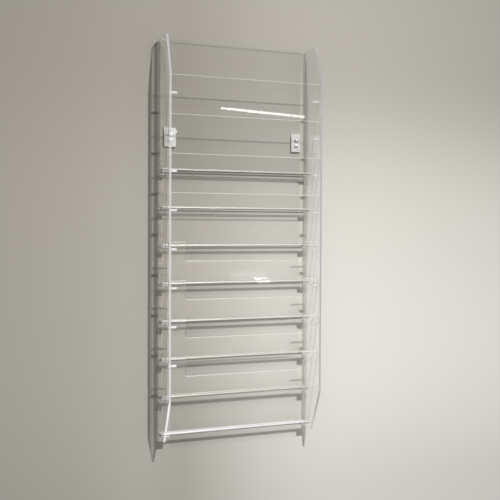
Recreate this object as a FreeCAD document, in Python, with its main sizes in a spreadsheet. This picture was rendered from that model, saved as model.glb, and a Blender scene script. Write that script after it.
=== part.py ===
import FreeCAD, Part
import os
import Sketcher

# A wall rack for magazines, made of clear acrylic sheet. Two side panels carry a ladder of bent
# trays. Each tray is a floor and a pocket front that leans outwards over the tray below it. The
# rack hangs on a wall rail from two steel hooks, screwed to the back panel of the top pocket.
#
# Frame: millimetres, +X along the rail, +Y towards the wall, +Z up. The origin is midway between
# the hooks, where the rail's top edge meets its front face.

doc = FreeCAD.newDocument("magazine_rack")

# ---------------------------------------------------------------- driving dimensions

sizes = doc.addObject("Spreadsheet::Sheet", "sizes")

DRIVING = [
    # the ladder of trays
    ("tiers", 8),
    ("notched_tiers", 4),        # counted from the lowest
    ("tier_pitch", 80),          # height from one floor to the next
    ("lowest_floor", -648),      # top of the lowest floor
    ("pocket_width", 336),       # between the side panels
    ("cement_gap", 0.2),         # film of cement between two sheets
    # trays
    ("tray_thickness", 3),
    ("floor_depth", 27),         # back edge to the inside of the bend
    ("lean_angle", 15.5),        # pocket front, from upright
    ("bend_radius", 3),          # inside the hot bend
    ("straight_front", 189),     # height of a straight pocket front above its floor
    ("eared_front", 168),        # height of the ears of a notched pocket front
    ("notch_floor", 128),        # bottom of the finger notch
    ("ear_width", 36),
    ("notch_radius", 7),         # lower corners of the notch
    ("ear_radius", 4),           # corners of the ears and of the straight fronts
    # side panels
    ("side_thickness", 4),
    ("back_edge", -2),           # back edge of the side panels, floors and back panel
    ("side_depth", 84),
    ("side_top", 186),
    ("side_bottom", -660),
    ("upper_bevel", 106),        # where the front edge starts to slope back
    ("lower_bevel", -569),
    ("top_depth", 58),           # depth left at the top edge
    ("bottom_depth", 42),        # depth left at the bottom edge
    # back panel of the top pocket
    ("back_thickness", 4),
    # hooks and screws
    ("hook_thickness", 2),
    ("hook_width", 22),
    ("hook_drop", 38.5),         # front plate below the rail's top edge
    ("hook_spread", 292),        # between the hooks' centres
    ("rail_throat", 3.5),        # room for the rail's flange
    ("lip_drop", 6),             # return lip behind the rail
    ("hook_radius", 0.5),        # inside the folds
    ("hook_corner", 2),          # lower corners of the front plate
    ("upper_screw", -12),
    ("screw_spacing", 12),
    ("thread_hole", 4),
    ("clearance_hole", 4.5),
    ("shank_diameter", 3.9),
    ("head_diameter", 7.6),
    ("head_height", 2.2),
    ("dome_radius", 1.7),        # rounding of the head's rim
    ("socket_width", 2.5),       # across the flats of the hexagon socket
    ("socket_depth", 1.3),
    # blocks cemented inside the side panels
    ("block_length", 14),
    ("rest_depth", 8),
    ("block_thickness", 3),
    ("rest_setback", 3),         # from the inside of the bend back to the rest
    ("stop_height", 151),        # foot of a stop, above its floor
    ("stop_rise", 4),
]

for row, (word, value) in enumerate(DRIVING, start=1):
    sizes.set(f"A{row}", word)
    sizes.set(f"B{row}", str(value))
    sizes.setAlias(f"B{row}", word)

DERIVED = [
    ("tray_width", "=pocket_width - 2 * cement_gap"),
    ("tray_half", "=tray_width / 2"),
    ("side_inner", "=pocket_width / 2"),
    ("front_edge", "=back_edge - side_depth"),
    ("bend_corner", "=back_edge - floor_depth"),
    ("lean_run", "=tan(lean_angle * 1 deg)"),
    ("lean_cos", "=cos(lean_angle * 1 deg)"),
    ("lean_sin", "=sin(lean_angle * 1 deg)"),
    ("notch_half", "=pocket_width / 2 - ear_width"),
    ("panel_front", "=back_edge - back_thickness"),
    ("lower_screw", "=upper_screw - screw_spacing"),
    ("hook_offset", "=hook_spread / 2"),
    ("hook_fold", "=hook_radius + hook_thickness"),
    ("head_top", "=panel_front - head_height"),
    ("head_half", "=head_diameter / 2"),
    ("shank_half", "=shank_diameter / 2"),
    ("socket_half", "=socket_width / 2"),
    ("socket_corner", "=socket_width / sqrt(3)"),
    ("outer_run", "=(1 - lean_sin) / lean_cos"),
    ("slab_run", "=tray_thickness / lean_cos"),
    ("notch_clear", "=eared_front + ear_width"),
]

for row, (word, formula) in enumerate(DERIVED, start=len(DRIVING) + 2):
    sizes.set(f"A{row}", word)
    sizes.set(f"B{row}", formula)
    sizes.setAlias(f"B{row}", word)

doc.recompute()


def size(word):
    """A cell's value as a plain number."""
    value = sizes.get(word)
    return float(getattr(value, "Value", value))


def cell(formula):
    """A formula in the sheet's own words, as an expression that other objects can hold."""
    words = [word for word, _ in DRIVING + DERIVED]
    out = []
    for token in formula.split():
        out.append(f"sizes.{token}" if token in words else token)
    return " ".join(out)


# ---------------------------------------------------------------- helpers

TIERS = range(1, int(size("tiers")) + 1)
parts = []


def keep(item, label):
    """Name an object as one of the rack's nodes."""
    item.Label = label
    parts.append(item)


def keep_group(items, label):
    """Name several objects as one node, a group of separate solids."""
    group = doc.addObject("Part::Compound", f"{label}_group")
    group.Links = items
    keep(group, label)


def new_body(name):
    return doc.addObject("PartDesign::Body", name)


def origin_feature(body, role):
    for feature in body.Origin.OriginFeatures:
        if feature.Role == role:
            return feature
    raise ValueError(role)


def new_sketch(body, name, role):
    sketch = body.newObject("Sketcher::SketchObject", name)
    sketch.AttachmentSupport = (origin_feature(body, role), [""])
    sketch.MapMode = "FlatFace"
    return sketch


def place_point(sketch, line, end, across, up):
    """Tie one end of a line to a place given by two formulas."""
    for kind, formula in (("DistanceX", across), ("DistanceY", up)):
        start = sketch.getPoint(line, end)
        now = start.x if kind == "DistanceX" else start.y
        number = sketch.addConstraint(Sketcher.Constraint(kind, -1, 1, line, end, now))
        sketch.setExpression(f"Constraints[{number}]", cell(formula))


def outline(sketch, corners, guess):
    """Draw a closed outline of straight lines. Each corner is a pair of formulas, and guess holds
    the same corners as numbers, so that the solver starts from the right shape."""
    count = len(corners)
    for index in range(count):
        start = FreeCAD.Vector(*guess[index], 0)
        end = FreeCAD.Vector(*guess[(index + 1) % count], 0)
        sketch.addGeometry(Part.LineSegment(start, end), False)
    for index in range(count):
        sketch.addConstraint(Sketcher.Constraint("Coincident", index, 2, (index + 1) % count, 1))
    for index, (across, up) in enumerate(corners):
        place_point(sketch, index, 1, across, up)


def evaluate(formula):
    """The number that a formula in the sheet's words has now."""
    words = {word: size(word) for word, _ in DRIVING + DERIVED}
    total = 0.0
    sign = 1.0
    product = None
    for token in formula.split():
        if token in "+-":
            total += 0.0 if product is None else sign * product
            sign = 1.0 if token == "+" else -1.0
            product = None
        elif token not in "*":
            value = words[token] if token in words else float(token)
            product = value if product is None else product * value
    return total + sign * product


def corners_now(corners):
    return [(evaluate(across), evaluate(up)) for across, up in corners]


def draw(body, name, role, corners):
    sketch = new_sketch(body, name, role)
    outline(sketch, corners, corners_now(corners))
    return sketch


def pad(body, name, sketch, formula, midplane=False, backwards=False):
    feature = body.newObject("PartDesign::Pad", name)
    feature.Profile = sketch
    feature.setExpression("Length", cell(formula))
    feature.Midplane = midplane
    feature.Reversed = backwards
    doc.recompute()
    return feature


def pocket_through(body, name, sketch):
    """Cut a sketch right through the body, both ways, and check that something was cut."""
    before = body.Shape.Volume
    feature = body.newObject("PartDesign::Pocket", name)
    feature.Profile = sketch
    feature.Midplane = True
    feature.Type = "ThroughAll"
    doc.recompute()
    if not body.Shape.Volume < before - 1.0:
        raise ValueError(f"{name} cuts nothing")
    return feature


def edges_where(shape, test):
    """Names of the edges that pass a test."""
    names = []
    for number, edge in enumerate(shape.Edges, start=1):
        if test(edge):
            names.append(f"Edge{number}")
    return names


def fillet(body, name, base, edge_names, formula):
    if not edge_names:
        raise ValueError(f"{name} finds no edge")
    feature = body.newObject("PartDesign::Fillet", name)
    feature.Base = (base, edge_names)
    feature.setExpression("Radius", cell(formula))
    doc.recompute()
    return feature


def along_x(edge):
    return abs(edge.tangentAt(edge.FirstParameter).x) > 0.99


def near(value, target, slack=0.05):
    return abs(value - target) < slack


# ---------------------------------------------------------------- side panels

# The outline lies in the YZ plane: straight back edge, and front corners cut off.
SIDE_CORNERS = [
    ("back_edge", "side_bottom"),
    ("back_edge", "side_top"),
    ("back_edge - top_depth", "side_top"),
    ("front_edge", "upper_bevel"),
    ("front_edge", "lower_bevel"),
    ("back_edge - bottom_depth", "side_bottom"),
]


def side_panel(hand, sign):
    body = new_body(f"side_{hand}")
    sketch = draw(body, f"side_{hand}_outline", "YZ_Plane", SIDE_CORNERS)
    pad(body, f"side_{hand}_sheet", sketch, "side_thickness", backwards=sign < 0)
    body.setExpression("Placement.Base.x", cell(f"{sign} * side_inner"))
    keep(body, f"side_panel_{hand}")


HANDS = (("left", -1), ("right", 1))

for hand, sign in HANDS:
    side_panel(hand, sign)

# ---------------------------------------------------------------- trays

# A tray's profile in the YZ plane, with its floor's top at height zero: floor, then front. The
# top edge is square to the sheet. The bend's outer corner lies outer_run thicknesses in front of
# its inner one, and slab_run is the sheet's thickness measured level, through the leaning front.


def tray_corners(front_height):
    return [
        ("back_edge", "0"),
        ("bend_corner", "0"),
        (f"bend_corner - {front_height} * lean_run", front_height),
        (f"bend_corner - {front_height} * lean_run - tray_thickness * lean_cos",
         f"{front_height} - tray_thickness * lean_sin"),
        ("bend_corner - tray_thickness * outer_run", "-1 * tray_thickness"),
        ("back_edge", "-1 * tray_thickness"),
    ]


# The finger notch, seen from the front. It runs past the ears' tops.
NOTCH_CORNERS = [
    ("-1 * notch_half", "notch_floor"),
    ("notch_half", "notch_floor"),
    ("notch_half", "notch_clear"),
    ("-1 * notch_half", "notch_clear"),
]


def through_top(edge, height):
    """An edge that crosses the sheet's thickness at the top of a pocket front."""
    direction = edge.tangentAt(edge.FirstParameter)
    return (abs(direction.x) < 0.01 and near(edge.Length, size("tray_thickness"))
            and near(edge.CenterOfMass.z, height, size("tray_thickness")))


def through_notch(edge):
    """An edge of the notch that runs level through the sheet, at one of its lower corners."""
    direction = edge.tangentAt(edge.FirstParameter)
    return (abs(direction.y) > 0.99 and near(abs(edge.CenterOfMass.x), size("notch_half"))
            and near(edge.CenterOfMass.z, size("notch_floor")))


def tray(tier):
    """One bent tray, flat blank to finished edges. The lower ones have ears and a notch."""
    notched = tier <= size("notched_tiers")
    front_height = "eared_front" if notched else "straight_front"
    body = new_body(f"tray_{tier}")
    sketch = draw(body, f"tray_{tier}_profile", "YZ_Plane", tray_corners(front_height))
    sheet = pad(body, f"tray_{tier}_sheet", sketch, "tray_width", midplane=True)

    inner = size("bend_corner")
    outer = evaluate("bend_corner - tray_thickness * outer_run")
    inside_bend = edges_where(sheet.Shape, lambda e: along_x(e) and near(e.CenterOfMass.y, inner)
                              and near(e.CenterOfMass.z, 0))
    sheet = fillet(body, f"tray_{tier}_bend_inside", sheet, inside_bend, "bend_radius")
    outside_bend = edges_where(sheet.Shape, lambda e: along_x(e) and near(e.CenterOfMass.y, outer)
                               and near(e.CenterOfMass.z, -size("tray_thickness")))
    sheet = fillet(body, f"tray_{tier}_bend_outside", sheet, outside_bend,
                   "bend_radius + tray_thickness")

    if notched:
        notch = draw(body, f"tray_{tier}_notch_outline", "XZ_Plane", NOTCH_CORNERS)
        sheet = pocket_through(body, f"tray_{tier}_notch", notch)
        lower = edges_where(sheet.Shape, through_notch)
        sheet = fillet(body, f"tray_{tier}_notch_corners", sheet, lower, "notch_radius")
    upper = edges_where(sheet.Shape, lambda e: through_top(e, size(front_height)))
    fillet(body, f"tray_{tier}_top_corners", sheet, upper, "ear_radius")

    body.setExpression("Placement.Base.z", cell(f"lowest_floor + {tier - 1} * tier_pitch"))
    keep(body, f"pocket_tray_{tier}")


for tier in TIERS:
    tray(tier)

# ---------------------------------------------------------------- blocks for the trays


def block_pair(name, depth, rise, foot_y, foot_z, lean=None):
    """Two blocks of one size, one cemented inside each side panel. foot_y and foot_z place the
    corner furthest from the wall, and lean is the angle from upright. All are formulas."""
    pair = []
    for hand, edge in (("left", "-1 * side_inner + cement_gap"),
                       ("right", "side_inner - cement_gap - block_length")):
        block = doc.addObject("Part::Box", f"{name}_{hand}")
        block.setExpression("Length", cell("block_length"))
        block.setExpression("Width", cell(depth))
        block.setExpression("Height", cell(rise))
        if lean:
            block.Placement.Rotation = FreeCAD.Rotation(FreeCAD.Vector(1, 0, 0), size(lean))
            block.setExpression("Placement.Rotation.Angle", cell(lean))
        block.setExpression("Placement.Base.x", cell(edge))
        block.setExpression("Placement.Base.y", cell(foot_y))
        block.setExpression("Placement.Base.z", cell(foot_z))
        pair.append(block)
    keep_group(pair, name)


# A stop leans like the pocket front behind it, with a film of cement between the two.
STOP_FOOT = ("bend_corner - stop_height * lean_run - slab_run - cement_gap"
             " - block_thickness * lean_cos")

for tier in TIERS:
    floor = f"lowest_floor + {tier - 1} * tier_pitch"
    block_pair(f"floor_rests_{tier}", "rest_depth", "block_thickness",
               "bend_corner + rest_setback",
               f"{floor} - tray_thickness - cement_gap - block_thickness")
    block_pair(f"front_stops_{tier}", "block_thickness", "stop_rise", STOP_FOOT,
               f"{floor} + stop_height - block_thickness * lean_sin", lean="lean_angle")

# ---------------------------------------------------------------- back panel of the top pocket

back = new_body("back")
back_outline = draw(back, "back_outline", "XZ_Plane", [
    ("-1 * tray_half", f"lowest_floor + {TIERS[-1] - 1} * tier_pitch + cement_gap"),
    ("tray_half", f"lowest_floor + {TIERS[-1] - 1} * tier_pitch + cement_gap"),
    ("tray_half", "side_top"),
    ("-1 * tray_half", "side_top"),
])
pad(back, "back_sheet", back_outline, "back_thickness")
back.setExpression("Placement.Base.y", cell("back_edge"))


def screw_holes(body, name, diameter, columns):
    """Round holes through a sheet for the hook screws, one row for each screw height."""
    sketch = new_sketch(body, f"{name}_circles", "XZ_Plane")
    for column in columns:
        for height in ("upper_screw", "lower_screw"):
            centre = FreeCAD.Vector(evaluate(column), evaluate(height), 0)
            number = sketch.addGeometry(
                Part.Circle(centre, FreeCAD.Vector(0, 0, 1), size(diameter) / 2), False)
            place_point(sketch, number, 3, column, height)
            span = sketch.addConstraint(Sketcher.Constraint("Diameter", number, size(diameter)))
            sketch.setExpression(f"Constraints[{span}]", cell(diameter))
    doc.recompute()
    return pocket_through(body, name, sketch)


screw_holes(back, "back_screw_holes", "clearance_hole", ("-1 * hook_offset", "hook_offset"))
keep(back, "back_panel")

# ---------------------------------------------------------------- hooks

# One folded strip: front plate, lip over the rail's top edge, return lip behind its flange.
HOOK_CORNERS = [
    ("-1 * hook_thickness", "-1 * hook_drop"),
    ("0", "-1 * hook_drop"),
    ("0", "0"),
    ("rail_throat", "0"),
    ("rail_throat", "-1 * lip_drop"),
    ("rail_throat + hook_thickness", "-1 * lip_drop"),
    ("rail_throat + hook_thickness", "hook_thickness"),
    ("-1 * hook_thickness", "hook_thickness"),
]


def hook(hand, sign):
    body = new_body(f"hook_{hand}_body")
    sketch = draw(body, f"hook_{hand}_profile", "YZ_Plane", HOOK_CORNERS)
    strip = pad(body, f"hook_{hand}_strip", sketch, "hook_width", midplane=True)
    folds = edges_where(strip.Shape, lambda e: along_x(e)
                        and near(e.CenterOfMass.z, size("hook_thickness")))
    strip = fillet(body, f"hook_{hand}_folds", strip, folds, "hook_fold")
    corners = edges_where(strip.Shape, lambda e: not along_x(e)
                          and near(e.CenterOfMass.z, -size("hook_drop")))
    fillet(body, f"hook_{hand}_corners", strip, corners, "hook_corner")
    screw_holes(body, f"hook_{hand}_threads", "thread_hole", ("0",))
    body.setExpression("Placement.Base.x", cell(f"{sign} * hook_offset"))
    keep(body, f"hook_{hand}")


for hand, sign in HANDS:
    hook(hand, sign)

# ---------------------------------------------------------------- screws

# A button-head screw, turned about the Y axis, with its head against the back panel and its tip
# just short of the hook's back face. These corners are half of its section in the YZ plane.
SCREW_CORNERS = [
    ("-1 * cement_gap", "0"),
    ("-1 * cement_gap", "shank_half"),
    ("panel_front", "shank_half"),
    ("panel_front", "head_half"),
    ("head_top", "head_half"),
    ("head_top", "0"),
]

SOCKET_CORNERS = [
    ("socket_corner", "0"),
    ("0.5 * socket_corner", "socket_half"),
    ("-0.5 * socket_corner", "socket_half"),
    ("-1 * socket_corner", "0"),
    ("-0.5 * socket_corner", "-1 * socket_half"),
    ("0.5 * socket_corner", "-1 * socket_half"),
]


def screw(name, sign, height):
    body = new_body(name)
    turned = body.newObject("PartDesign::Revolution", f"{name}_turned")
    turned.Profile = draw(body, f"{name}_section", "YZ_Plane", SCREW_CORNERS)
    turned.ReferenceAxis = (origin_feature(body, "Y_Axis"), [""])
    doc.recompute()
    rim = edges_where(turned.Shape, lambda e: e.isClosed()
                      and near(e.CenterOfMass.y, size("head_top")))
    fillet(body, f"{name}_dome", turned, rim, "dome_radius")

    sketch = draw(body, f"{name}_socket_outline", "XZ_Plane", SOCKET_CORNERS)
    sketch.setExpression("AttachmentOffset.Base.z", cell("-1 * head_top"))
    before = body.Shape.Volume
    socket = body.newObject("PartDesign::Pocket", f"{name}_socket")
    socket.Profile = sketch
    socket.setExpression("Length", cell("socket_depth"))
    doc.recompute()
    if not body.Shape.Volume < before:
        raise ValueError(f"{name} has no socket")
    body.setExpression("Placement.Base.x", cell(f"{sign} * hook_offset"))
    body.setExpression("Placement.Base.z", cell(height))
    return body


for hand, sign in HANDS:
    pair = [screw(f"screw_{hand}_{place}", sign, f"{place}_screw") for place in ("upper", "lower")]
    keep_group(pair, f"hook_screws_{hand}")

# ---------------------------------------------------------------- checks and export

doc.recompute()
for item in doc.Objects:
    if {"Invalid", "Error"} & set(item.State):
        raise ValueError(f"{item.Label} failed: {item.State}")

labels = [item.Label for item in parts]
if len(set(labels)) != len(labels):
    raise ValueError("two nodes share a label")

os.makedirs("parts", exist_ok=True)
for item in parts:
    shape = item.Shape
    if shape.isNull() or not shape.isValid() or not shape.Solids:
        raise ValueError(f"{item.Label} has no valid solid")
    shape.exportStep(f"parts/{item.Label}.step")
    box = shape.BoundBox
    print(f"{item.Label:20s} solids {len(shape.Solids)}  volume {shape.Volume:10.1f} mm3  "
          f"x {box.XMin:.1f}..{box.XMax:.1f}  y {box.YMin:.1f}..{box.YMax:.1f}  "
          f"z {box.ZMin:.1f}..{box.ZMax:.1f}")
print(len(parts), "nodes")
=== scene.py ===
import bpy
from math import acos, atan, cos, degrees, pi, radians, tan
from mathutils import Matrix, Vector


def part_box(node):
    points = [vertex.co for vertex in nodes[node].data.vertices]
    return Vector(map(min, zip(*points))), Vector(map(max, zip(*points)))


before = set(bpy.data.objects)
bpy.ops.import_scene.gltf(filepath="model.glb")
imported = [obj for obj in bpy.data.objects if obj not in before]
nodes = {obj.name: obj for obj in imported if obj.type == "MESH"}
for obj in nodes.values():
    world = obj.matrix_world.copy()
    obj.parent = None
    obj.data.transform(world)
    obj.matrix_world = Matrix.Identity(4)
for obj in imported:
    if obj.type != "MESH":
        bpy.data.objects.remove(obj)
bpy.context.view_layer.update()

# %% [markdown]
# # A magazine rack of clear acrylic
#
# The rack is a ladder of bent pockets between two tall side panels. Every sheet is clear cast
# acrylic, so nearly all that the eye sees is edges, bends, reflections and shadows. The loaded
# frame already holds each sheet, block, hook and screw at its real size, in metres, and each of
# those meshes stays as it is. These cells give each one its finish, and then hang a wall behind
# the rack, put a room in front of it and light both.

MM = 0.001

# %% [markdown]
# ## The camera
#
# Somebody stands to the left of the rack, with their eyes 0.2 m below the rail, and holds a camera
# with a lens that is slightly longer than a standard one. Blender's camera looks down its own -Z
# axis, so it is first tipped up by 90 degrees to look along +Y, and then turned to the right. It
# could be aimed at a target with a constraint instead. Three plain angles were chosen because each
# one can be checked on its own: the turn slides the rack sideways, the tip slides it up and down,
# and the roll is the small tilt of a camera that is held in the hand.

# %% Camera
EYE = Vector((-634.4, -1707.2, -214.7)) * MM
TURN_RIGHT = radians(21.5)
LOOK_UP = radians(-1.41)
ROLL = radians(0.27)
LENS = 59.5

camera_data = bpy.data.cameras.new("standing_camera")
camera_data.lens = LENS
camera = bpy.data.objects.new("standing_camera", camera_data)
bpy.context.scene.collection.objects.link(camera)
aim = Matrix.Rotation(-TURN_RIGHT, 4, "Z") @ Matrix.Rotation(pi / 2 + LOOK_UP, 4, "X")
camera.matrix_world = Matrix.Translation(EYE) @ aim @ Matrix.Rotation(ROLL, 4, "Z")
bpy.context.scene.camera = camera

# %% [markdown]
# ## Colours
#
# A colour is easiest to read as the hex value of a paint chart or a screen, which is sRGB. A shader
# adds and multiplies light, so it wants linear values. Blender has a colour picker that converts
# them, and a script needs one function that does the same.

# %% From hex to linear


def linear(hex_code):
    """An sRGB hex value as a linear colour."""
    parts = []
    for start in (1, 3, 5):
        value = int(hex_code[start:start + 2], 16) / 255
        parts.append(value / 12.92 if value <= 0.04045 else ((value + 0.055) / 1.055) ** 2.4)
    return (*parts, 1.0)


print("a mid grey, #808080, is", round(linear("#808080")[0], 3), "in linear light")

# %% [markdown]
# ## Nodes
#
# Each finish is a small tree of nodes. This function adds one node with its settings and wires it
# to the sockets that feed it, so a finish reads as a list from the surface's position at the top
# to its output at the bottom. A value is written into an input, and a socket is linked to it.

# %% Adding a node


def add_node(tree, kind, inputs=None, stops=None, **options):
    """Add a node. Options are its properties. Inputs are values, or sockets to link from."""
    node = tree.nodes.new(kind)
    for name, value in options.items():
        setattr(node, name, value)
    for place, value in stops or []:
        ramp = node.color_ramp.elements
        stop = ramp[0] if place == 0 else ramp[-1] if place == 1 else ramp.new(place)
        stop.color = (value, value, value, 1)
    for name, value in (inputs or {}).items():
        if isinstance(value, bpy.types.NodeSocket):
            tree.links.new(value, node.inputs[name])
        else:
            node.inputs[name].default_value = value
    return node


def new_material(name):
    """A material with an empty tree."""
    material = bpy.data.materials.new(name)
    material.use_nodes = True
    material.node_tree.nodes.clear()
    return material


def give(names, material):
    """Put a material on some of the loaded pieces."""
    for name in names:
        nodes[name].data.materials.clear()
        nodes[name].data.materials.append(material)
    print(material.name, "on", len(names), "pieces")


print("there are", sum(len(nodes[name].data.polygons) for name in nodes), "faces to finish")

# %% [markdown]
# ## Masks
#
# A clear sheet looks quite different on its faces and on its edges. The faces were cast against
# glass and are perfectly smooth. The edges were sawn and scraped, so they scatter light and show as
# pale lines. The edges could be given a second material slot, but the mesh isn't ours to change.
# So a mask tells them apart: a number at every point of the surface, 1 where something holds and 0
# where it doesn't. A few masks are enough to say where each sheet was cut, bent and cemented.
# Multiplying masks means "and", and taking the largest means "or".

# %% Masks


def inside(tree, value, low=-9.0, high=9.0):
    """1 where a value lies between low and high."""
    over = add_node(tree, "ShaderNodeMath", {0: value, 1: low}, operation="GREATER_THAN")
    under = add_node(tree, "ShaderNodeMath", {0: value, 1: high}, operation="LESS_THAN")
    return all_of(tree, over.outputs[0], under.outputs[0])


def all_of(tree, *masks):
    """1 where every mask is 1. Numbers below 1 weaken the result."""
    total = masks[0]
    for mask in masks[1:]:
        total = add_node(tree, "ShaderNodeMath", {0: total, 1: mask},
                         operation="MULTIPLY").outputs[0]
    return total


def any_of(tree, *masks):
    """1 where at least one mask is 1."""
    total = masks[0]
    for mask in masks[1:]:
        total = add_node(tree, "ShaderNodeMath", {0: total, 1: mask},
                         operation="MAXIMUM").outputs[0]
    return total


def sheet_axes(tree):
    """How far the surface faces along X, Y and Z, and the place of the point, in metres."""
    where = add_node(tree, "ShaderNodeTexCoord").outputs
    facing = add_node(tree, "ShaderNodeVectorMath", {0: where["Normal"]}, operation="ABSOLUTE")
    facing = add_node(tree, "ShaderNodeSeparateXYZ", {0: facing.outputs[0]}).outputs
    place = add_node(tree, "ShaderNodeSeparateXYZ", {0: where["Object"]}).outputs
    return facing, place


STEEP = 0.5
print("a surface counts as facing along an axis up to", round(degrees(acos(STEEP))),
      "degrees off it")

# %% [markdown]
# ## Smooth curves
#
# The wall and the room change gently from one tone to another. A colour ramp set to B-spline draws
# a smooth curve through a few points, which is closer to the way light falls off in a room than
# straight steps are. The same curve can be used for a colour, a mask or the brightness of a room.

# %% A curve through a few points


def smooth_curve(tree, value, points):
    """A soft curve past a few (value, result) points."""
    low, high = points[0][0], points[-1][0]
    along = add_node(tree, "ShaderNodeMapRange", {
        "Value": value, "From Min": low, "From Max": high}).outputs[0]
    stops = [((place - low) / (high - low), result) for place, result in points]
    curve = add_node(tree, "ShaderNodeValToRGB", {0: along}, stops)
    curve.color_ramp.interpolation = "B_SPLINE"
    return curve.outputs[0]


print("a colour ramp holds at most 32 points")

# %% [markdown]
# ## The shadow of a clear sheet
#
# Clear sheets cast shadows in two ways. Where light passes through a face, the surface mirrors a
# part of it away by Fresnel's law: about 4% where light meets it head on, and far more where a
# side panel stands nearly in line with the lamp. That is why the rack's two sides throw grey
# bands on the wall, and its back hardly throws any. Where light meets a sawn edge or a hot bend it
# is scattered or gathered, which leaves a dark line.
#
# Blender's path tracer doesn't send lamp light straight through refracting glass. Caustics could do
# that, with a great deal of noise. The plainer way is to let lamp rays, and the soft light that
# bounces off the wall, meet a see-through surface whose colour is the share that gets through.

# %% What a lamp ray meets
# PMMA bends light as strongly as this. It is the same for cast and extruded sheets.
ACRYLIC_IOR = 1.49


def lamp_shader(tree, passed, loss):
    """See-through, but as dim as the real sheet is. Loss is the share of the mirrored light that
    doesn't come down on the wall somewhere near by."""
    side = add_node(tree, "ShaderNodeNewGeometry")
    index = add_node(tree, "ShaderNodeMix", {
        0: side.outputs["Backfacing"], 2: ACRYLIC_IOR, 3: 1 / ACRYLIC_IOR}, data_type="FLOAT")
    mirrored = add_node(tree, "ShaderNodeFresnel", {"IOR": index.outputs[0]})
    lost = all_of(tree, mirrored.outputs[0], loss)
    kept = add_node(tree, "ShaderNodeMath", {0: 1.0, 1: lost}, operation="SUBTRACT")
    through = all_of(tree, kept.outputs[0], passed)
    return add_node(tree, "ShaderNodeBsdfTransparent", {"Color": through})


def dimmed(tree, *steps):
    """Start at full light and multiply by each level where its mask is 1."""
    levels = [add_node(tree, "ShaderNodeMix", {0: mask, 2: 1.0, 3: level},
                       data_type="FLOAT").outputs[0] for mask, level in steps]
    return all_of(tree, *levels)


head_on = ((ACRYLIC_IOR - 1) / (ACRYLIC_IOR + 1)) ** 2
print("each face mirrors", round(100 * head_on, 1), "% of the light that meets it head on")

# %% [markdown]
# ## Sawn and scraped acrylic
#
# After sawing, the edge of a sheet is scraped to take its sharp corners off. The scraped surface
# looks frosted. It also glows: light that enters the sheet's large faces runs along inside it and
# comes out at the edges, so they look brighter than any matt surface in their place would. An
# emitting surface would glow in the dark as well, so the glow is made from the lamps' own light
# instead. The edge is partly matt, and its surface direction is bent towards the light above
# and in front, as if the light were coming out of the sheet.
#
# Saw marks are about 0.3 mm apart. They are drawn 0.8 mm apart, so that a close view still shows
# them.

# %% Frosted edges
SAW_PITCH = 0.8 * MM
SAW_DEPTH = 0.05 * MM
SAW_STRENGTH = 0.1
EDGE_ROUGHNESS = 0.3
INNER_LIGHT = Vector((0, -0.6, 1.6)) * 0.7


def sawn_shader(tree, frosted, colour, glow):
    """A scraped edge. The glow is its matt share, and the rest lets light through."""
    place = add_node(tree, "ShaderNodeTexCoord").outputs["Object"]
    marks = add_node(tree, "ShaderNodeTexNoise", {
        "Vector": place, "Scale": 1 / SAW_PITCH, "Detail": 2.0})
    lift = add_node(tree, "ShaderNodeVectorMath", {
        0: INNER_LIGHT, "Scale": frosted}, operation="SCALE")
    outward = add_node(tree, "ShaderNodeNewGeometry").outputs["Normal"]
    towards = add_node(tree, "ShaderNodeVectorMath", {0: outward, 1: lift.outputs[0]})
    towards = add_node(tree, "ShaderNodeVectorMath", {0: towards.outputs[0]},
                       operation="NORMALIZE")
    bump = add_node(tree, "ShaderNodeBump", {
        "Strength": SAW_STRENGTH, "Distance": SAW_DEPTH, "Height": marks.outputs["Fac"],
        "Normal": towards.outputs[0]})
    return add_node(tree, "ShaderNodeBsdfPrincipled", {
        "Base Color": linear(colour), "IOR": ACRYLIC_IOR, "Roughness": EDGE_ROUGHNESS,
        "Transmission Weight": 1.0 - glow, "Normal": bump.outputs["Normal"]})


print("saw marks", SAW_PITCH / MM, "mm apart and", SAW_DEPTH / MM, "mm deep")

# %% [markdown]
# ## Clear faces
#
# A cast face has no roughness at all, and no tint. Two things still show on it. Acrylic charges
# up when it is rubbed, so specks of dust cling to it. And a hot bend shows a dark line, where it
# gathers the dark part of the room like a lens; here that line is painted shade, a dark tint on the
# clear face. A Voronoi texture places the specks: it divides space into cells of about 22 mm with
# one point in each, and a speck shows where a sheet passes within 0.7 mm of a point. Few points are
# that close to a sheet, so the specks are further apart than the cells.

# %% Clear faces with dust
SPECK = 0.7 * MM
SPECK_CELL = 22 * MM
SPECK_SHARE = 0.35
# Painted shade: the tint of the dark line in a bend and of the grey on the right panel.
PAINTED_SHADE_TINT = "#6a675f"


def dust_specks(tree):
    """Small faint specks all over a sheet."""
    place = add_node(tree, "ShaderNodeTexCoord").outputs["Object"]
    cells = add_node(tree, "ShaderNodeTexVoronoi", {
        "Vector": place, "Scale": 1 / SPECK_CELL})
    speck = inside(tree, cells.outputs["Distance"], high=SPECK / SPECK_CELL)
    return all_of(tree, speck, SPECK_SHARE)


def clear_shader(tree, dark=None):
    """A cast face. Dark is a mask for painted shade, such as the dark line in a bend."""
    clear = add_node(tree, "ShaderNodeBsdfPrincipled", {
        "Base Color": linear("#ffffff"), "IOR": ACRYLIC_IOR, "Roughness": 0.0,
        "Transmission Weight": 1.0})
    if dark is not None:
        tint = add_node(tree, "ShaderNodeMix", {
            0: dark, 6: linear("#ffffff"), 7: linear(PAINTED_SHADE_TINT)}, data_type="RGBA")
        tree.links.new(tint.outputs[2], clear.inputs["Base Color"])
    return clear


print("specks up to", round(2 * SPECK / MM, 1), "mm across, one point in each", SPECK_CELL / MM, "mm")

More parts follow.
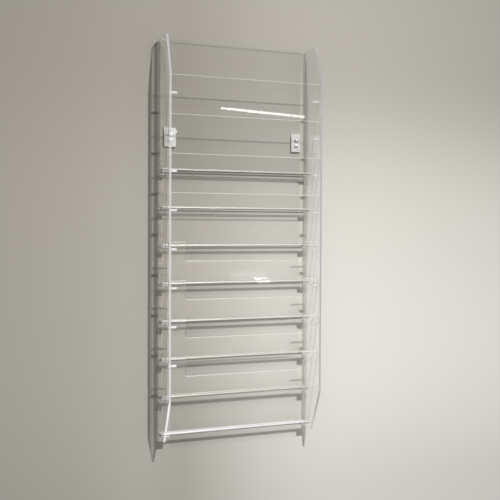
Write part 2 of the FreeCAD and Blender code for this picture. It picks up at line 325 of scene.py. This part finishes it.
# %% [markdown]
# ## Clear cast acrylic
#
# The whole finish joins the three shaders. Light Path tells them apart: a ray from the eye, or one
# that is mirrored or bent, meets the clear or the sawn surface, and a ray of lamp light or of
# soft light meets the see-through one. A joint is another case. Solvent cement melts two sheets
# into one, so the light goes on through a good joint as if no surface were there, and the
# see-through surface stands for that as well.

# %% The finish


def cast_acrylic(name, describe, colour, glow, loss):
    """Describe gives four masks: the frosted part, the lamp light that gets through, the joints
    and the painted shade. The last two may be None."""
    material = new_material(name)
    tree = material.node_tree
    frosted, passed, joint, dark = describe(tree)
    frosted = any_of(tree, frosted, dust_specks(tree))
    surface = add_node(tree, "ShaderNodeMixShader", {
        0: frosted, 1: clear_shader(tree, dark).outputs[0],
        2: sawn_shader(tree, frosted, colour, glow).outputs[0]})
    ray = add_node(tree, "ShaderNodeLightPath").outputs
    soft = any_of(tree, ray["Is Shadow Ray"], ray["Is Diffuse Ray"])
    if joint is not None:
        soft = any_of(tree, soft, joint)
    whole = add_node(tree, "ShaderNodeMixShader", {
        0: soft, 1: surface.outputs[0], 2: lamp_shader(tree, passed, loss).outputs[0]})
    add_node(tree, "ShaderNodeOutputMaterial", {"Surface": whole.outputs[0]})
    return material


print("a clear face, a sawn edge and a lamp ray's view of both")

# %% [markdown]
# ## The side panels
#
# Each side is one tall sheet, 4 mm thick, sawn to an outline with cut corners. It stands square to
# the wall, so its edge is nearly all that the eye sees of it: a pale line with a touch of violet.
#
# The lamp hangs in front of the rack and meets these sheets at a glancing angle. Their inner faces
# mirror a part of its light on to the wall beside them, so only 0.3 of the loss is kept. The strip
# near the wall has the ends of the trays cemented to it and lets less through, and so does
# the outer strip of the left panel, where its long front edge stands in the way.
#
# The two panels are made to look a little different, with painted shade on the right one. Its
# edge, which is the further from the viewer, gets less frost and so less of the lamp-lit glow, and
# its upper part has a faint grey tint. Both are matched to how the rack looks, and the light that
# makes them is not worked out here.

# %% Side panels
SIDE_FRONT = -10 * MM
TRAY_STRIP = (-36 * MM, -2.2 * MM)
OUTER_STRIP = -67 * MM
EDGE_PASSES, STRIP_PASSES, OUTER_PASSES = 0.5, 0.45, 0.55
# Painted shade: the right panel's edge gets less frost and so less lamp-lit glow, and its upper part
# a grey tint by height.
FAR_EDGE_SHADED_FROST = 0.75
RIGHT_PAINTED_SHADE = [(-0.66, 0.0), (-0.1, 0.0), (-0.02, 0.03), (0.06, 0.09), (0.12, 0.09), (0.19, 0.09)]


def side_sheet(tree):
    """Frosted edges, a dim strip for the trays' ends, and painted shade on the right panel."""
    facing, place = sheet_axes(tree)
    edge = inside(tree, facing["X"], high=STEEP)
    front = all_of(tree, edge, inside(tree, place["Y"], high=SIDE_FRONT))
    near_wall = inside(tree, place["Y"], *TRAY_STRIP)
    outer = all_of(tree, inside(tree, place["Y"], high=OUTER_STRIP),
                   inside(tree, place["X"], high=0.0))
    near = inside(tree, place["X"], high=0.0)
    frosted = all_of(tree, edge, any_of(tree, near, FAR_EDGE_SHADED_FROST))
    painted_shade = all_of(tree, inside(tree, place["X"], low=0.0), smooth_curve(tree, place["Z"], RIGHT_PAINTED_SHADE))
    passed = dimmed(tree, (front, EDGE_PASSES), (near_wall, STRIP_PASSES), (outer, OUTER_PASSES))
    return frosted, passed, None, painted_shade


give(["side_panel_left", "side_panel_right"], cast_acrylic(
    "clear_cast_acrylic_side", side_sheet, colour="#f6f3f5", glow=0.65, loss=0.3))

# %% [markdown]
# ## The back panel
#
# One flat sheet closes the back of the top pocket and carries the two hooks. The lamp meets it
# nearly head on, so its faces throw no shadow to speak of. Its edges do: they are what draws
# the thin dark outline on the wall.

# %% Back panel
BACK_EDGE_PASSES = 0.2


def back_sheet(tree):
    """Frosted and shadowing at its edges only."""
    facing = sheet_axes(tree)[0]
    edge = inside(tree, facing["Y"], high=STEEP)
    return edge, dimmed(tree, (edge, BACK_EDGE_PASSES)), None, None


give(["back_panel"], cast_acrylic(
    "clear_cast_acrylic_back", back_sheet, colour="#ffffff", glow=0.7, loss=0.7))

# %% [markdown]
# ## Where a tray is
#
# The eight trays are alike and hang one pitch apart. One description can serve them all if it
# counts height from each tray's own floor. Taking the remainder after dividing by the pitch
# does that, with no need for a material per tray. The count starts half a millimetre below the
# floor's underside, because a point that lay a hair too low would otherwise come out a whole
# pitch too high.

# %% Heights on a tray
tray_low, tray_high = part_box("pocket_tray_1")
next_low, next_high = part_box("pocket_tray_2")
TIER_PITCH = next_low.z - tray_low.z
MARGIN = 0.5 * MM


def tray_height(tree, place):
    """Height above a level just below the underside of the tray's own floor."""
    above = add_node(tree, "ShaderNodeMath", {0: place["Z"], 1: tray_low.z - MARGIN},
                     operation="SUBTRACT")
    return add_node(tree, "ShaderNodeMath", {0: above.outputs[0], 1: TIER_PITCH},
                    operation="FLOORED_MODULO").outputs[0]


print("tiers are", round(TIER_PITCH / MM, 1), "mm apart, and a tray's floor ends",
      round(-tray_high.y / MM, 1), "mm in front of the rail's face")

# %% [markdown]
# ## The bent trays
#
# A tray is one sheet, 3 mm thick, softened over a hot wire and folded into a floor and a leaning
# front. Its ends are cemented to the side panels. Its top edge is scraped, and so is the edge of the
# wide notch that lets a finger reach the magazines in the lower four trays.
#
# The bend is smooth, but it is curved so tightly that it gathers light from all over the room,
# and it looks like a bright hazy line with a dark one under it. Both are painted on the bend: the
# bright line is a painted highlight, a pale matt band lit by the lamps, and the dark one is painted
# shade. The floor behind it holds the dust that nobody wipes away, and its pale matt band is partly
# that dust and partly a painted highlight. On the wall, the bend leaves a dark line a little higher
# up than straight rays would draw it, so a strip of the floor behind the bend stands in for it. The
# sawn back edge of the floor leaves another one.
#
# Both ends of a tray are cemented to the side panels by hand. These joints look about half as
# clear as perfect ones, so they are half joint and half sawn edge.
#
# A thin band below the top edge is scraped too. The front leans, so "within 1.2 mm of the
# edge" is a limit on how far out a point of its outer face is.

# %% Zones of a tray
LEAN = tan(radians(15.5))
BEND_CORNER = -29 * MM
SHEET = 3 * MM
NOTCH_HALF = 132 * MM
TOP_HIGH, TOP_LOW, NOTCH_FLOOR = 189 * MM, 168 * MM, 128 * MM
SCRAPED = 1.2 * MM
FRONT_ZONE = -45 * MM
BACK_ZONE = tray_high.y - 0.4 * MM
BEND_ZONE = (-36 * MM, -26 * MM)
LENS_SHADOW = (-19.5 * MM, -15.4 * MM)
FLOOR_TOP = (3.0 * MM, 4.5 * MM)
FLOOR_LIMIT, FRONT_FOOT = 5.8 * MM, 8 * MM
JOINT_ZONE = tray_high.x - 0.1 * MM
LEVEL = 0.9
# Heights above the bend of the painted dark line, and of the painted highlight above it.
PAINTED_DARK_LINE, BEND_HIGHLIGHT_LINE = 1.9 * MM, 3.4 * MM


def front_line(height):
    """How far out a pocket front's outer face is, a scraped edge's width below a height."""
    return BEND_CORNER - (height - SCRAPED) * LEAN - SHEET / cos(atan(LEAN))


print("the front's edge is scraped beyond y =", round(front_line(TOP_HIGH) / MM, 1), "mm")

# %% A tray's description
# How strongly the frosted surface shows, out of 1.
# The bend's pale band is a painted highlight, and the floor's is partly dust, partly painted
# highlight.
FLOOR_DUST_AND_HIGHLIGHT, BEND_HIGHLIGHT_SHARE, NOTCH_RIM = 0.7, 0.9, 0.6
CEMENTED = 0.5
# The share of the lamp's light that gets through.
CUT_PASSES, BACK_PASSES, LENS_PASSES, FRONT_PASSES = 0.3, 0.15, 0.25, 0.98


def tray_sheet(tree, top, notch=None, painted_dark_line=PAINTED_DARK_LINE, dust_and_highlight=FLOOR_DUST_AND_HIGHLIGHT):
    """Top and notch are the heights of those edges above the bend."""
    facing, place = sheet_axes(tree)
    height = tray_height(tree, place)
    aside = add_node(tree, "ShaderNodeMath", {0: place["X"]}, operation="ABSOLUTE").outputs[0]
    cut = all_of(tree, inside(tree, facing["Z"], low=STEEP),
                 inside(tree, place["Y"], high=FRONT_ZONE))
    ends = inside(tree, facing["X"], low=STEEP)
    back = inside(tree, place["Y"], low=BACK_ZONE)
    scraped = inside(tree, place["Y"], high=front_line(top))
    if notch:
        rim = all_of(tree, inside(tree, place["Y"], high=front_line(notch)),
                     inside(tree, aside, high=NOTCH_HALF - SCRAPED), NOTCH_RIM)
        scraped = any_of(tree, scraped, rim)
    floor = inside(tree, height, high=FLOOR_LIMIT)
    curved = inside(tree, place["Y"], *BEND_ZONE)
    # Painted highlight: a pale matt band in the bend, with painted shade below it.
    painted_highlight = all_of(tree, curved, inside(tree, height, painted_dark_line, painted_dark_line + BEND_HIGHLIGHT_LINE), BEND_HIGHLIGHT_SHARE)
    dark = all_of(tree, curved, inside(tree, height, high=painted_dark_line))
    lens = all_of(tree, floor, inside(tree, place["Y"], *LENS_SHADOW))
    # Dust and painted highlight: a pale matt band on the floor's top face.
    dust_and_highlight_band = all_of(tree, inside(tree, facing["Z"], low=LEVEL), inside(tree, height, *FLOOR_TOP),
                   dust_and_highlight)
    frosted = any_of(tree, ends, cut, back, scraped, painted_highlight, dust_and_highlight_band)
    joint = all_of(tree, inside(tree, aside, low=JOINT_ZONE), CEMENTED)
    front = inside(tree, height, low=FRONT_FOOT)
    passed = dimmed(tree, (cut, CUT_PASSES), (back, BACK_PASSES), (lens, LENS_PASSES),
                    (front, FRONT_PASSES))
    return frosted, passed, joint, dark


print("the haze of a bend is", BEND_HIGHLIGHT_LINE / MM, "mm high, above a dark line of", PAINTED_DARK_LINE / MM, "mm")

# %% [markdown]
# The upper four trays have a straight top edge, and the lower four a notched one, so there are two
# finishes. The lowest tray gets its own, because its floor is the one that is looked down on most
# steeply: its band of dust and painted highlight is stronger, and the painted dark line in its bend
# is wider. The edges of the other trays look a little creamier than the side panels'.

# %% Finishes for the trays
trays = sorted(name for name in nodes if name.startswith("pocket_tray_"))
CREAM, TRAY_GLOW, TRAY_LOSS = "#fffaf0", 0.9, 0.4
# The lowest tray: a wider painted dark line, and a stronger band of dust and painted highlight.
LOWEST_PAINTED_DARK_LINE, LOWEST_FLOOR_DUST_AND_HIGHLIGHT, LOWEST_GLOW = 3.2 * MM, 0.9, 0.95

give(trays[4:], cast_acrylic(
    "clear_cast_acrylic_bent", lambda tree: tray_sheet(tree, TOP_HIGH),
    CREAM, TRAY_GLOW, TRAY_LOSS))
give(trays[1:4], cast_acrylic(
    "clear_cast_acrylic_bent_and_notched", lambda tree: tray_sheet(tree, TOP_LOW, NOTCH_FLOOR),
    CREAM, TRAY_GLOW, TRAY_LOSS))
give(trays[:1], cast_acrylic(
    "clear_cast_acrylic_bent_dusty",
    lambda tree: tray_sheet(tree, TOP_LOW, NOTCH_FLOOR, LOWEST_PAINTED_DARK_LINE, LOWEST_FLOOR_DUST_AND_HIGHLIGHT),
    "#ffffff", LOWEST_GLOW, TRAY_LOSS))

# %% [markdown]
# ## The cemented blocks
#
# Small strips of the same acrylic carry the trays' floors and stop their fronts. They are sawn on
# every side, so they look frosted all over and show as short pale ticks along the side panels,
# each with a dark tick of shadow beside it. The ones on the right panel, further from the viewer,
# are only partly frosted, so they glow less: painted shade that makes them look fainter.

# %% Cemented blocks
# Painted shade: the right panel's blocks get less frost, so they glow less.
FAR_BLOCK_SHADED_FROST = 0.6
BLOCK_PASSES = 0.35


def sawn_block(tree):
    """Frosted all over on the left panel, and partly on the right one, as painted shade."""
    place = sheet_axes(tree)[1]
    near = inside(tree, place["X"], high=0.0)
    return any_of(tree, near, FAR_BLOCK_SHADED_FROST), BLOCK_PASSES, None, None


blocks = [name for name in nodes if name.startswith(("floor_rests_", "front_stops_"))]
give(blocks, cast_acrylic(
    "sawn_cast_acrylic_block", sawn_block, colour="#ffffff", glow=0.8, loss=0.7))

# %% [markdown]
# ## The hooks
#
# Two hooks of bent steel, powder-coated white, carry the rack. Powder is sprayed on dry and baked,
# and as it melts it draws together into soft waves, here about 0.8 mm apart. The eye takes that
# "orange peel" as a soft shine that isn't quite even. Noise as a bump gives it, and it costs
# no geometry.

# %% Powder coat
PEEL, PEEL_DEPTH, PEEL_STRENGTH = 0.8 * MM, 0.05 * MM, 0.2
COAT_ROUGHNESS, COAT_IOR = 0.4, 1.5
hook_coat = new_material("white_powder_coated_steel")
tree = hook_coat.node_tree
place = add_node(tree, "ShaderNodeTexCoord").outputs["Object"]
peel = add_node(tree, "ShaderNodeTexNoise", {"Vector": place, "Scale": 1 / PEEL, "Detail": 2.0})
bump = add_node(tree, "ShaderNodeBump", {
    "Strength": PEEL_STRENGTH, "Distance": PEEL_DEPTH, "Height": peel.outputs["Fac"]})
coat = add_node(tree, "ShaderNodeBsdfPrincipled", {
    "Base Color": linear("#fafaf7"), "Roughness": COAT_ROUGHNESS, "IOR": COAT_IOR,
    "Normal": bump.outputs["Normal"]})
add_node(tree, "ShaderNodeOutputMaterial", {"Surface": coat.outputs[0]})
give(["hook_left", "hook_right"], hook_coat)

# %% [markdown]
# ## The screws
#
# The screws are steel with a thin plating of zinc, which is a light grey. Zinc settles
# as fine crystals, so the shine changes from place to place, about every 0.3 mm. A real metal
# colours what it mirrors and has no other colour, so all of the work is done by its roughness.

# %% Zinc plating
CRYSTAL = 0.3 * MM
SHINIEST, DULLEST = 0.35, 0.55
zinc = new_material("zinc_plated_steel")
tree = zinc.node_tree
place = add_node(tree, "ShaderNodeTexCoord").outputs["Object"]
crystals = add_node(tree, "ShaderNodeTexNoise", {"Vector": place, "Scale": 1 / CRYSTAL})
shine = add_node(tree, "ShaderNodeMapRange", {
    "Value": crystals.outputs["Fac"], "To Min": SHINIEST, "To Max": DULLEST})
plating = add_node(tree, "ShaderNodeBsdfPrincipled", {
    "Base Color": linear("#d2d3d1"), "Metallic": 1.0, "Roughness": shine.outputs[0]})
add_node(tree, "ShaderNodeOutputMaterial", {"Surface": plating.outputs[0]})
give(["hook_screws_left", "hook_screws_right"], zinc)

# %% [markdown]
# ## The wall
#
# The rack hangs on a painted wall, and a clear rack is seen by what stands behind it. The wall is
# one large plane that shows only from the front, so that the rack can be looked at from behind as
# well. Its paint is a warm grey with painted light and shade on it: it grows paler to the right and
# lower down, as the light in a real room falls on a wall, and a dip of painted shade just inside the
# left panel stands for the shade of the rack's sheets. A wide lamp could do the falloff too, but it
# would light the rack unevenly.
#
# Two narrow pale bands of painted light run down the wall just inside the side panels. They are
# where the panels' inner faces mirror the lamp's light to. A see-through shadow can't bring that
# light down, so it is painted on. The left band is the wider and the fainter of the two.

# %% Painted light and shade on the wall
# Painted light and shade: how pale the wall is across and upwards, with a dip of painted shade inside
# the left panel.
PAINTED_LIGHT_ACROSS = [(-0.48, 0.17), (-0.34, 0.23), (-0.264, 0.29), (-0.2, 0.35), (-0.121, 0.25),
          (-0.076, 0.38), (-0.03, 0.51), (0.017, 0.63), (0.065, 0.78), (0.114, 0.86),
          (0.151, 0.91), (0.214, 0.98), (0.3, 1.0), (0.457, 0.97), (0.69, 0.95)]
PAINTED_LIGHT_UPWARD = [(-0.82, 0.82), (-0.73, 0.91), (-0.66, 0.97), (-0.58, 1.0), (-0.5, 1.0),
          (-0.42, 0.96), (-0.34, 0.9), (-0.26, 0.83), (-0.17, 0.75), (-0.075, 0.61),
          (0.018, 0.42), (0.11, 0.27), (0.2, 0.24), (0.3, 0.25)]
# Painted light: the bands that the side panels' inner faces mirror on to the wall.
LEFT_PAINTED_LIGHT, RIGHT_PAINTED_LIGHT = (-0.166, -0.1435), (0.1585, 0.1665)
LEFT_PAINTED_LIGHT_SHARE = 0.75
PAINTED_LIGHT_HEIGHT = [(-0.74, 0.0), (-0.68, 0.0), (-0.64, 0.4), (-0.3, 0.4), (0.0, 0.35),
               (0.1, 0.15), (0.16, 0.0), (0.24, 0.0)]


def wall_paint_with_light_and_shade(tree):
    """A warm grey with painted light and shade, and the two bands of painted light."""
    place = add_node(tree, "ShaderNodeNewGeometry").outputs["Position"]
    axes = add_node(tree, "ShaderNodeSeparateXYZ", {0: place}).outputs
    painted_light_and_shade = all_of(tree, smooth_curve(tree, axes["X"], PAINTED_LIGHT_ACROSS), smooth_curve(tree, axes["Z"], PAINTED_LIGHT_UPWARD))
    wall_with_painted_light = add_node(tree, "ShaderNodeMix", {
        0: painted_light_and_shade, 6: linear("#a09b90"), 7: linear("#f6f3eb")}, data_type="RGBA").outputs[2]
    left = all_of(tree, inside(tree, axes["X"], *LEFT_PAINTED_LIGHT), LEFT_PAINTED_LIGHT_SHARE)
    beside = any_of(tree, left, inside(tree, axes["X"], *RIGHT_PAINTED_LIGHT))
    painted_light_band = all_of(tree, beside, smooth_curve(tree, axes["Z"], PAINTED_LIGHT_HEIGHT))
    return add_node(tree, "ShaderNodeMix", {
        0: painted_light_band, 6: wall_with_painted_light, 7: linear("#fff6e2")}, data_type="RGBA").outputs[2]


print("the bands are", [round((high - low) / MM, 1) for low, high in (LEFT_PAINTED_LIGHT, RIGHT_PAINTED_LIGHT)],
      "mm wide")

# %% Wall
WALL_FACE = 6 * MM
WALL_SIZE = 8.0
wall_paint = new_material("matt_wall_paint")
tree = wall_paint.node_tree
matt = add_node(tree, "ShaderNodeBsdfDiffuse", {"Color": wall_paint_with_light_and_shade(tree)})
nothing = add_node(tree, "ShaderNodeBsdfTransparent")
behind = add_node(tree, "ShaderNodeNewGeometry").outputs["Backfacing"]
faced = add_node(tree, "ShaderNodeMixShader", {0: behind, 1: matt.outputs[0], 2: nothing.outputs[0]})
add_node(tree, "ShaderNodeOutputMaterial", {"Surface": faced.outputs[0]})

wall_mesh = bpy.data.meshes.new("wall")
reach = WALL_SIZE / 2
wall_mesh.from_pydata([(-reach, WALL_FACE, -reach), (reach, WALL_FACE, -reach),
                       (reach, WALL_FACE, reach), (-reach, WALL_FACE, reach)], [], [(0, 1, 2, 3)])
wall_mesh.materials.append(wall_paint)
wall = bpy.data.objects.new("wall", wall_mesh)
bpy.context.scene.collection.objects.link(wall)

# %% [markdown]
# ## The room
#
# The world does two jobs here. As a light, it is a plain weak white that fills the shadows. As a
# view, it is the room that the acrylic mirrors, from its dark floor up to its pale ceiling. The
# leaning fronts mirror what lies low in the room and the flat back panel what lies level with it,
# so the room's brightness at each height decides how much veil lies on each tier. It could
# be a panorama of a room, wrapped round the scene. A curve of brightness against height does the
# same with fifteen points, and Light Path keeps the two jobs apart.

# %% Room light and room view
ROOM_LIGHT = 0.27
# Height in the room is the Z part of the direction, from -1 at the floor to 1 at the ceiling.
ROOM_VIEW = [(-1.0, 0.05), (-0.82, 0.1), (-0.73, 0.45), (-0.66, 0.75), (-0.57, 1.0), (-0.5, 0.9),
             (-0.44, 0.3), (-0.35, 0.1), (-0.2, 0.3), (0.0, 0.4), (0.1, 0.05), (0.22, 0.05),
             (0.4, 0.8), (0.6, 1.0), (1.0, 1.0)]

world = bpy.data.worlds.new("room")
bpy.context.scene.world = world
world.use_nodes = True
tree = world.node_tree
tree.nodes.clear()
ray = add_node(tree, "ShaderNodeLightPath").outputs
seen = any_of(tree, ray["Is Camera Ray"], ray["Is Glossy Ray"], ray["Is Transmission Ray"])
light = add_node(tree, "ShaderNodeBackground", {
    "Color": linear("#ffffff"), "Strength": ROOM_LIGHT})
toward = add_node(tree, "ShaderNodeTexCoord").outputs["Generated"]
climb = add_node(tree, "ShaderNodeSeparateXYZ", {0: toward}).outputs["Z"]
tone = add_node(tree, "ShaderNodeMix", {
    0: smooth_curve(tree, climb, ROOM_VIEW), 6: linear("#524e44"), 7: linear("#fff8ea")},
    data_type="RGBA").outputs[2]
view = add_node(tree, "ShaderNodeBackground", {"Color": tone, "Strength": 1.0})
room = add_node(tree, "ShaderNodeMixShader", {0: seen, 1: light.outputs[0], 2: view.outputs[0]})
add_node(tree, "ShaderNodeOutputWorld", {"Surface": room.outputs[0]})
print("the room lights the rack at", ROOM_LIGHT, "and is seen at 1")

# %% [markdown]
# ## The lamps
#
# One small lamp above and in front of the rack does most of the lighting, and the weak light of
# the room does the rest. The lamp is small, so that every edge leaves a sharp dark line on the
# wall, and it hangs to the right of the left panel and to the left of the right one, so both
# panels throw their bands outwards. A point lamp would be sharper still, but real shadows are a
# little softer further from the edge.
#
# Light from a small lamp fades with the square of the distance, which would leave the foot of the
# rack dark. Its falloff is made constant instead, so that its light is as strong there as at the top.

# %% Key lamp


def area_lamp(name, place, target, width, height, power, roll=0.0):
    """A rectangular lamp that faces a target and doesn't fade with distance."""
    data = bpy.data.lights.new(name, "AREA")
    data.shape = "RECTANGLE"
    data.size, data.size_y = width, height
    data.energy = power
    data.use_nodes = True
    falloff = add_node(data.node_tree, "ShaderNodeLightFalloff", {"Strength": 1.0})
    glow = data.node_tree.nodes["Emission"]
    data.node_tree.links.new(falloff.outputs["Constant"], glow.inputs["Strength"])
    lamp = bpy.data.objects.new(name, data)
    turn = (Vector(target) - Vector(place)).to_track_quat("-Z", "Y").to_matrix().to_4x4()
    lamp.matrix_world = Matrix.Translation(place) @ turn @ Matrix.Rotation(roll, 4, "Z")
    bpy.context.scene.collection.objects.link(lamp)
    print(name, "of", power, "W,", round(width / MM), "by", round(height / MM), "mm")
    return lamp


KEY_PLACE, KEY_AIM = (0.06, -1.114, 0.48), (0.05, 0, -0.25)
area_lamp("key_lamp", KEY_PLACE, KEY_AIM, width=0.03, height=0.03, power=7.9)

# %% [markdown]
# Three more lamps are there only to be mirrored, and hardly light anything. A long tube is the
# bright streak across the back panel. A low lamp and its pale shade are the small highlight on a
# leaning front half way down the rack. Where such a mirror image shows is settled as at a billiard
# table: the lamp stands as far in front of the sheet as its image is behind it. All three are
# hidden from the camera itself.

# %% Lamps that are only mirrored
TUBE_PLACE, TUBE_AIM = (0.617, -1.2, 0.225), (0.617, 0, 0.225)
LOW_PLACE, LOW_AIM = (0.667, -1.283, -1.184), (0.667, -0.07, -0.326)
SHADE_PLACE, SHADE_AIM = (0.61, -1.3, -1.168), (0.61, -0.087, -0.31)

long_tube = area_lamp("long_tube", TUBE_PLACE, TUBE_AIM, width=0.46, height=0.009, power=0.30,
                      roll=radians(-2.4))
low_lamp = area_lamp("low_lamp", LOW_PLACE, LOW_AIM, width=0.055, height=0.007, power=0.009)
lamp_shade = area_lamp("lamp_shade", SHADE_PLACE, SHADE_AIM, width=0.16, height=0.03, power=0.003)
for lamp in (long_tube, low_lamp, lamp_shade):
    lamp.visible_camera = False

# %% [markdown]
# ## Light paths and colour
#
# A ray through this rack can cross many sheets, two faces each, before it comes to the wall. It has
# to be allowed that many turns, or the deepest places would come out black. The view transform is
# Standard, so that a colour leaves the render as it was written.

# %% Light paths and colour
CLEAR_TURNS, SEE_THROUGH_TURNS = 32, 64
cycles = bpy.context.scene.cycles
cycles.max_bounces = CLEAR_TURNS
cycles.transmission_bounces = CLEAR_TURNS
cycles.transparent_max_bounces = SEE_THROUGH_TURNS
bpy.context.scene.view_settings.view_transform = "Standard"
print("up to", cycles.transmission_bounces, "turns through clear sheets")
